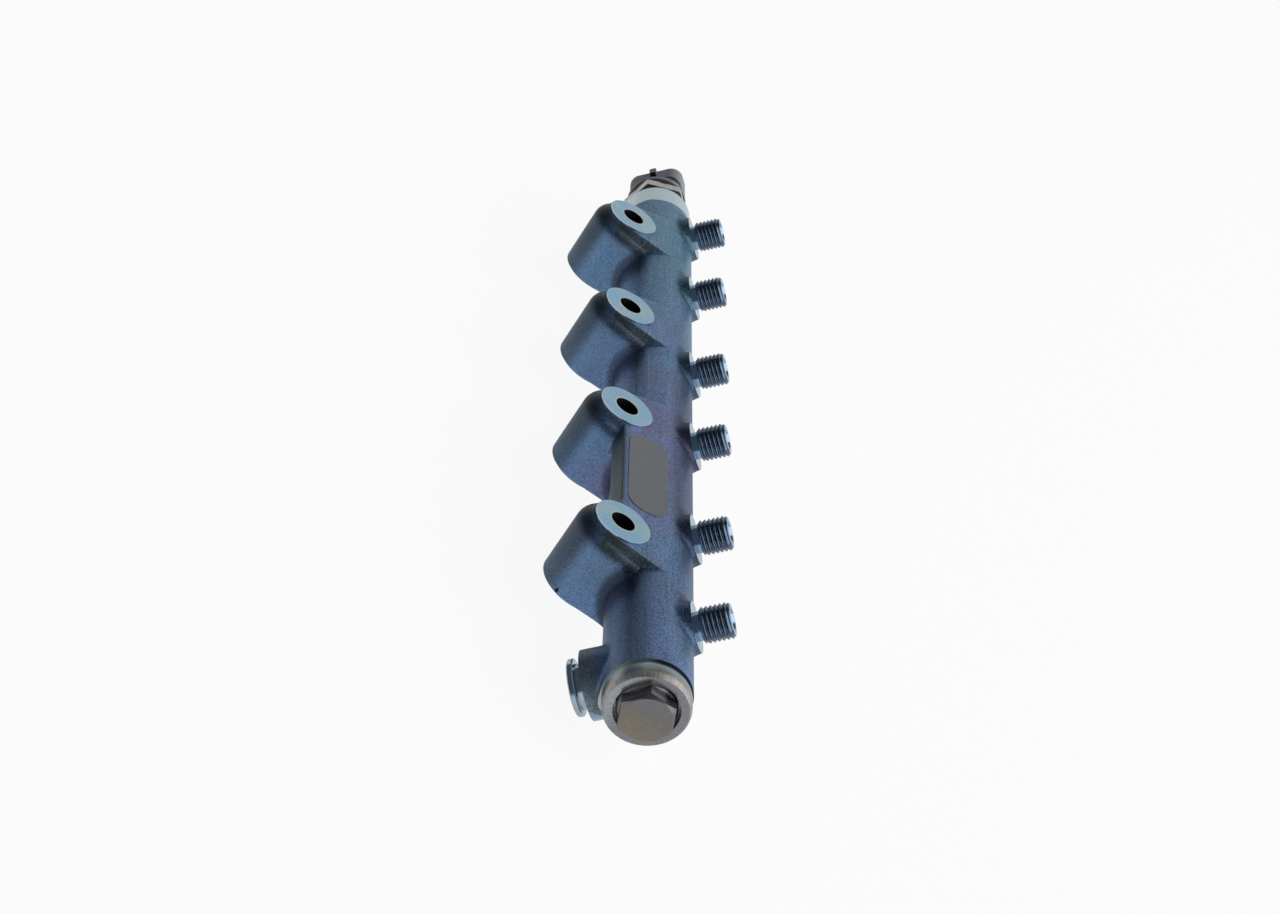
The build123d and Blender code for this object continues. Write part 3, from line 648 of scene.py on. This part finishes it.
# radius = crest - depth * (0.5 - 0.5 * cos(2 * pi * fromCrest)), where fromCrest is the distance from the
# ridge in pitches and the ridge climbs one pitch a turn. The chamfer at the tip and the lead-in at the neck
# cut it, and an inner cylinder closes it.
def threadMesh(name, mount):
    root = mount["dims"]["r_mm"] * mm
    length = mount["dims"]["length_mm"] * mm
    axis = np.array(mount["axis"])
    start = np.array(mount["pos_m"]) - axis * length / 2
    rows = int(length / thread["pitch"] * thread["rowsPerTurn"])
    height = np.linspace(0, length, rows)[:, None]
    angle = np.linspace(0, 2 * np.pi, thread["columns"], endpoint=False)[None, :]
    turn = np.mod(height / thread["pitch"] - angle / (2 * np.pi), 1.0)
    fromCrest = np.abs(turn - 0.5)
    radius = thread["crest"] - thread["depth"] * (0.5 - 0.5 * np.cos(2 * np.pi * fromCrest))
    tipSlope = (thread["crest"] - thread["tip"]) / thread["chamfer"]
    radius = np.minimum(radius, thread["tip"] + (length - height) * tipSlope)
    leadSlope = (thread["crest"] - root) / thread["leadIn"]
    radius = np.minimum(radius, root - thread["sink"] / 2 + height * leadSlope)
    inner = np.full((1, thread["columns"]), root - thread["sink"])
    radius = np.vstack([inner, radius, inner])
    height = np.vstack([height[:1], height, height[-1:]])
    along = np.array((0.0, 1.0, 0.0))
    side = np.cross(axis, along)
    ring = np.cos(angle)[..., None] * along + np.sin(angle)[..., None] * side
    points = start + height[..., None] * axis + radius[..., None] * ring
    mesh = bpy.data.meshes.new(name)
    faces = closedGridFaces(points.shape[0], thread["columns"])
    mesh.from_pydata(points.reshape(-1, 3).tolist(), [], faces.tolist())
    mesh.polygons.foreach_set("use_smooth", [True] * len(mesh.polygons))
    mesh.update()
    return mesh


def threadFinish():
    finish = Finish("threadZinc", thread["colour"], 1.0, thread["roughness"])
    streak = finish.noise(**thread["streak"])
    finish.colour(finish.mix(finish.ramp(streak, *thread["tintSpots"]), thread["colour"], thread["tint"]))
    finish.rough(finish.ramp(streak, *thread["roughSpots"], *thread["roughRange"]))
    return finish


threadSkin = threadFinish()
for mount in portMounts:
    threadName = mount["name"].replace("port_", "portThread")
    dress(placePiece(threadName, threadMesh(threadName, mount), "rail"), threadSkin)
print("threads cut:", len(portMounts))


# Turned and moulded pieces

turned = {
    "streak": {"size": 1.2 * mm, "detail": 4.0},
    "tintSpots": (0.35, 0.65),
    "roughSpots": (0.2, 0.8),
    "roughShare": (0.8, 1.25),
    "scuff": {"size": 0.36 * mm, "detail": 2.0},
    "scuffDepth": 0.004 * mm,
}
moulded = {
    "mottle": {"size": 3 * mm, "detail": 3.0},
    "tintSpots": (0.35, 0.65),
    "eroded": {"size": 0.25 * mm, "detail": 2.0},
    "erodedDepth": 0.01 * mm,
}


# Machined steel: two near colours in soft streaks, and fine roughness changes.
def steelFinish(name, colour, tint, roughness):
    finish = Finish(name, colour, 1.0, roughness)
    streak = finish.noise(**turned["streak"])
    smoothest, roughest = turned["roughShare"]
    finish.colour(finish.mix(finish.ramp(streak, *turned["tintSpots"]), colour, tint))
    finish.rough(finish.ramp(streak, *turned["roughSpots"], roughness * smoothest, roughness * roughest))
    finish.bump(finish.noise(**turned["scuff"]), turned["scuffDepth"])
    return finish


def mottled(finish, colour, tint):
    return finish.mix(finish.ramp(finish.noise(**moulded["mottle"]), *moulded["tintSpots"]), colour, tint)


# Moulded plastic or rubber: slight mottling and a fine eroded grain.
def mouldedFinish(name, colour, tint, roughness):
    finish = Finish(name, colour, 0.0, roughness)
    finish.colour(mottled(finish, colour, tint))
    finish.bump(finish.noise(**moulded["eroded"]), moulded["erodedDepth"])
    return finish


valve = {
    "face": (0.205, 0.195, 0.160),
    "faceTint": (0.190, 0.185, 0.200),
    "faceCloud": {"size": 6 * mm, "detail": 3.0},
    "faceSpots": (0.38, 0.62),
    "cloudShare": 0.6,
    "upperTint": {"acrossZ": (-2, 5, 0.0, 0.8)},
    "lowerYellow": (0.245, 0.215, 0.160),
    "yellowBelow": {"acrossZ": (1, -7, 0.0, 0.7)},
    "side": (0.36, 0.36, 0.38),
    # Painted shade on the right of the hexagon's sides and flange
    "sideShade": (0.065, 0.065, 0.070),
    "flange": (0.34, 0.335, 0.35),
    "flangeShade": (0.09, 0.09, 0.10),
    "shadedSide": {"acrossX": (0.5, 3)},
    "chamferRise": 3.55 * mm,
    "flangeSink": 0.48 * mm,
    "fineCloud": {"size": 0.6 * mm, "detail": 3.0},
    "fineSpots": (0.3, 0.7),
    "fineTone": (0.92, 1.08),
    "roughness": 0.34,
    "sideRoughness": 0.48,
}


# Hexagon's face, lilac towards the top and brassy yellow towards the bottom, its sides, and the flange in the
# rail's end, the sides and flange painted darker on the right as shade.
def valveFinish():
    finish = Finish("valveSteel", valve["face"], 1.0, valve["roughness"])
    at = {"acrossX": finish.minus(finish.x, railAxis["x"]), "acrossZ": finish.minus(finish.z, railAxis["z"])}
    fromNear = finish.minus(finish.y, railAxis["near"])
    cloud = finish.ramp(finish.noise(**valve["faceCloud"]), *valve["faceSpots"])
    tinted = finish.most(finish.times(cloud, valve["cloudShare"]), finish.zone(at, valve["upperTint"]))
    face = finish.mix(tinted, valve["face"], valve["faceTint"])
    face = finish.mix(finish.zone(at, valve["yellowBelow"]), face, valve["lowerYellow"])
    # Sides and flange painted darker on the right as shade
    shadedSide = finish.zone(at, valve["shadedSide"])
    side = finish.mix(shadedSide, valve["side"], valve["sideShade"])
    flange = finish.mix(shadedSide, valve["flange"], valve["flangeShade"])
    behindFace = finish.above(fromNear, -valve["chamferRise"])
    onFlange = finish.above(fromNear, valve["flangeSink"])
    colour = finish.mix(onFlange, finish.mix(behindFace, face, side), flange)
    fineTone = finish.ramp(finish.noise(**valve["fineCloud"]), *valve["fineSpots"], *valve["fineTone"])
    finish.colour(finish.scale(colour, fineTone))
    finish.rough(finish.blend(behindFace, valve["roughness"], valve["sideRoughness"]))
    return finish


dress(smoothCopy("valve_body", "valveBody"), valveFinish())

returnFitting = {
    "colour": (0.36, 0.50, 0.66),
    "tint": (0.42, 0.44, 0.40),
    "roughness": 0.18,
}
fittingSkin = smoothCopy("return_fitting", "returnFitting")
dress(fittingSkin, steelFinish("platedSteel", **returnFitting))

sensorBody = {
    "colour": (0.46, 0.42, 0.39),
    "tint": (0.40, 0.38, 0.38),
    "roughness": 0.32,
}
sensorSkin = smoothCopy("sensor_body", "sensorBody")
dress(sensorSkin, steelFinish("sensorSteel", **sensorBody))


# Sensor's connector

connector = {
    "grey": (0.285, 0.315, 0.338),
    "tint": (0.250, 0.280, 0.300),
    "paintedShadow": (0.010, 0.010, 0.011),
    "roughness": 0.5,
    "shine": 0.2,
    # Painted shadow in a seam behind the sensor's hexagon, and a crescent of painted shadow on the right
    # shoulder
    "seamEnd": 11.6 * mm,
    "shoulderX": 21.4 * mm,
    "shoulderY": 19.0 * mm,
    "shoulderSlope": 0.78,
    "shoulderReach": 3.9 * mm,
    "shoulderHalf": 1.7 * mm,
    # Latch nub and the painted shadow under it
    "nubHalf": 1.5 * mm,
    "nubStart": 24.0 * mm,
    "nubEnd": 26.3 * mm,
    "nubTop": 7.95 * mm,
    "nubRound": 1.05 * mm,
    "nubSegments": 4,
    "nubBase": 7.3 * mm,
}


def connectorFinish():
    finish = Finish("connectorPlastic", connector["grey"], 0.0, connector["roughness"])
    finish.shader.inputs["Specular IOR Level"].default_value = connector["shine"]
    acrossX = finish.minus(finish.x, railAxis["x"])
    acrossZ = finish.minus(finish.z, railAxis["z"])
    fromEnd = finish.minus(finish.y, railAxis["far"])
    seam = finish.below(fromEnd, connector["seamEnd"])
    along = finish.minus(finish.x, connector["shoulderX"])
    line = finish.plus(fromEnd, finish.times(along, connector["shoulderSlope"]))
    share = finish.times(along, 1 / connector["shoulderReach"])
    width = finish.times(finish.minus(1.0, finish.times(share, share)), connector["shoulderHalf"])
    crescent = finish.times(finish.below(finish.apart(line, connector["shoulderY"]), width),
                            finish.above(acrossZ, 0.0))
    sideways = finish.times(finish.plus(acrossX, acrossZ), diagonal)
    rise = finish.times(finish.minus(acrossZ, acrossX), diagonal)
    slot = finish.times(finish.below(finish.maths("ABSOLUTE", sideways), connector["nubHalf"]),
                        finish.above(fromEnd, connector["nubStart"]),
                        finish.below(fromEnd, connector["nubEnd"]),
                        finish.below(rise, connector["nubTop"]), finish.above(rise, 0.0))
    grey = mottled(finish, connector["grey"], connector["tint"])
    # The seam, crescent and strip under the nub painted black as shadow
    finish.colour(finish.mix(finish.most(seam, crescent, slot), grey, connector["paintedShadow"]))
    finish.bump(finish.noise(**moulded["eroded"]), moulded["erodedDepth"])
    return finish


# A bevel on the points that stand above the latch's base.
def domeNub(piece):
    places = np.empty(len(piece.data.vertices) * 3)
    piece.data.vertices.foreach_get("co", places)
    places = places.reshape(-1, 3)
    rise = ((places[:, 2] - railAxis["z"]) - (places[:, 0] - railAxis["x"])) * diagonal
    nub = piece.vertex_groups.new(name="latchNub")
    nub.add(np.flatnonzero(rise > connector["nubBase"]).tolist(), 1.0, "REPLACE")
    dome = piece.modifiers.new("nubDome", "BEVEL")
    dome.limit_method = "VGROUP"
    dome.vertex_group = nub.name
    dome.width = connector["nubRound"]
    dome.segments = connector["nubSegments"]


connectorSkin = smoothCopy("connector_housing", "connectorHousing")
dress(connectorSkin, connectorFinish())
domeNub(connectorSkin)


# Label, inner pieces and the valve's spring

labelFilm = {
    "colour": (0.156, 0.170, 0.180),
    "tint": (0.166, 0.180, 0.190),
    "roughness": 0.5,
}
dress(smoothCopy("type_label", "typeLabel"), mouldedFinish("labelFilm", **labelFilm))

innerFinishes = {
    "seat_steel": steelFinish("groundSteel", (0.58, 0.58, 0.59), (0.52, 0.52, 0.54), 0.2),
    "spring_steel": steelFinish("springWire", (0.42, 0.42, 0.44), (0.36, 0.36, 0.38), 0.3),
    "gauge_glass": steelFinish("gaugeCell", (0.50, 0.50, 0.44), (0.44, 0.45, 0.42), 0.25),
    "contact_tin": steelFinish("contactTin", (0.66, 0.64, 0.58), (0.60, 0.57, 0.50), 0.2),
    "seal_rubber": mouldedFinish("sealRubber", (0.020, 0.020, 0.021), (0.028, 0.028, 0.028), 0.6),
    "spacer_plastic": mouldedFinish("spacerPlastic", (0.55, 0.52, 0.44), (0.50, 0.47, 0.40), 0.5),
    "board": mouldedFinish("boardLaminate", (0.020, 0.110, 0.045), (0.015, 0.085, 0.035), 0.4),
}
for part in frame["record"]["subparts"]:
    if part["material_slot"] in innerFinishes:
        dress(nodes[part["node"]], innerFinishes[part["material_slot"]])

# The valve's spring, merged and shaded smooth, with a mesh of its own
springSkin = smoothCopy("valve_spring", "valveSpring")
dress(springSkin, innerFinishes["spring_steel"])
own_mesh(springSkin)
print("fittings, connector, label and inner pieces dressed")


# Studio

studio = {
    "floor": (0.80, 0.80, 0.80),
    "floorRoughness": 0.9,
    "floorHalf": 3.0,
    "floorGap": 1 * mm,
    "floorGlow": {"camera": 0.92, "mirrored": 0.65},
    "backdrop": {"left": -1.1, "right": 2.2, "y": 1.6, "top": 1.75},
    "world": (0.55, 0.65, 0.80),
    "worldStrength": 0.07,
    "worldGlow": {"camera": 1.0, "mirrored": 0.06},
    "white": (1, 1, 1, 1),
    "softboxPlace": (1.25, -0.40, 1.20),
    "softboxTarget": (0, 0, 0),
    "softboxSize": 2.6,
    "softboxPower": 44,
}


# Share of the white background that camera rays see, and rays that metal or glass sends on.
def backgroundShare(tree, shares):
    path = tree.nodes.new("ShaderNodeLightPath")
    sentOn = tree.nodes.new("ShaderNodeMath")
    sentOn.operation = "MAXIMUM"
    mirrored = tree.nodes.new("ShaderNodeMath")
    mirrored.operation = "MULTIPLY"
    mirrored.inputs[1].default_value = shares["mirrored"]
    seen = tree.nodes.new("ShaderNodeMath")
    seen.operation = "MULTIPLY_ADD"
    seen.inputs[1].default_value = shares["camera"]
    tree.links.new(path.outputs["Is Glossy Ray"], sentOn.inputs[0])
    tree.links.new(path.outputs["Is Transmission Ray"], sentOn.inputs[1])
    tree.links.new(sentOn.outputs[0], mirrored.inputs[0])
    tree.links.new(path.outputs["Is Camera Ray"], seen.inputs[0])
    tree.links.new(mirrored.outputs[0], seen.inputs[2])
    return seen.outputs[0]


# The lit shader and the white background, mixed into the tree's output by that share.
def mixBackground(tree, lit, white, shares, output):
    mixer = tree.nodes.new("ShaderNodeMixShader")
    tree.links.new(backgroundShare(tree, shares), mixer.inputs[0])
    tree.links.new(lit.outputs[0], mixer.inputs[1])
    tree.links.new(white.outputs[0], mixer.inputs[2])
    tree.links.new(mixer.outputs[0], tree.nodes[output].inputs[0])


def stagePanel(name, corners, material):
    mesh = bpy.data.meshes.new(name)
    mesh.from_pydata(corners, [], [(0, 1, 2, 3)])
    mesh.materials.append(material)
    panel = bpy.data.objects.new(name, mesh)
    bpy.context.scene.collection.objects.link(panel)


paleFloor = bpy.data.materials.new("paleFloor")
paleFloor.use_nodes = True
floorTree = paleFloor.node_tree
floorShader = floorTree.nodes["Principled BSDF"]
floorShader.inputs["Base Color"].default_value = (*studio["floor"], 1)
floorShader.inputs["Roughness"].default_value = studio["floorRoughness"]
floorWhite = floorTree.nodes.new("ShaderNodeEmission")
floorWhite.inputs["Color"].default_value = studio["white"]
mixBackground(floorTree, floorShader, floorWhite, studio["floorGlow"], "Material Output")

floorHalf = studio["floorHalf"]
floorLevel = cadLow.z - studio["floorGap"]
stagePanel("floor", [(-floorHalf, -floorHalf, floorLevel), (floorHalf, -floorHalf, floorLevel),
                     (floorHalf, floorHalf, floorLevel), (-floorHalf, floorHalf, floorLevel)], paleFloor)
drop = studio["backdrop"]
dropCorners = [(drop["left"], drop["y"], floorLevel), (drop["right"], drop["y"], floorLevel),
               (drop["right"], drop["y"], drop["top"]), (drop["left"], drop["y"], drop["top"])]
stagePanel("backdrop", dropCorners, paleFloor)

world = bpy.data.worlds.new("studio")
bpy.context.scene.world = world
world.use_nodes = True
worldTree = world.node_tree
background = worldTree.nodes["Background"]
background.inputs["Color"].default_value = (*studio["world"], 1)
background.inputs["Strength"].default_value = studio["worldStrength"]
worldWhite = worldTree.nodes.new("ShaderNodeBackground")
worldWhite.inputs["Color"].default_value = studio["white"]
mixBackground(worldTree, background, worldWhite, studio["worldGlow"], "World Output")

softbox = bpy.data.lights.new("keySoftbox", "AREA")
softbox.size = studio["softboxSize"]
softbox.energy = studio["softboxPower"]
softboxObject = bpy.data.objects.new("keySoftbox", softbox)
softboxObject.location = studio["softboxPlace"]
aim = Vector(studio["softboxTarget"]) - Vector(studio["softboxPlace"])
softboxObject.rotation_euler = aim.to_track_quat("-Z", "Y").to_euler()
bpy.context.scene.collection.objects.link(softboxObject)
print("studio lit")


# Camera: place, line of sight and roll of the photograph's view

view = {
    "place": (-0.22977, -0.84737, 0.44994),
    "sight": (0.25639, 0.85157, -0.45727),
    "up": (-0.43826, 0.52408, 0.73025),
    "lens": 76.17,
    "sensor": 36.0,
    "clipStart": 0.01,
    "clipEnd": 20,
}
camera = bpy.data.cameras.new("camera")
camera.lens = view["lens"]
camera.sensor_width = view["sensor"]
camera.clip_start = view["clipStart"]
camera.clip_end = view["clipEnd"]
cameraObject = bpy.data.objects.new("camera", camera)
back = -Vector(view["sight"]).normalized()
right = Vector(view["up"]).cross(back).normalized()
up = back.cross(right)
turn = Matrix((right, up, back)).transposed()
cameraObject.matrix_world = Matrix.Translation(view["place"]) @ turn.to_4x4()
bpy.context.scene.collection.objects.link(cameraObject)
bpy.context.scene.camera = cameraObject
bpy.context.scene.view_settings.view_transform = "Standard"
print("camera placed")
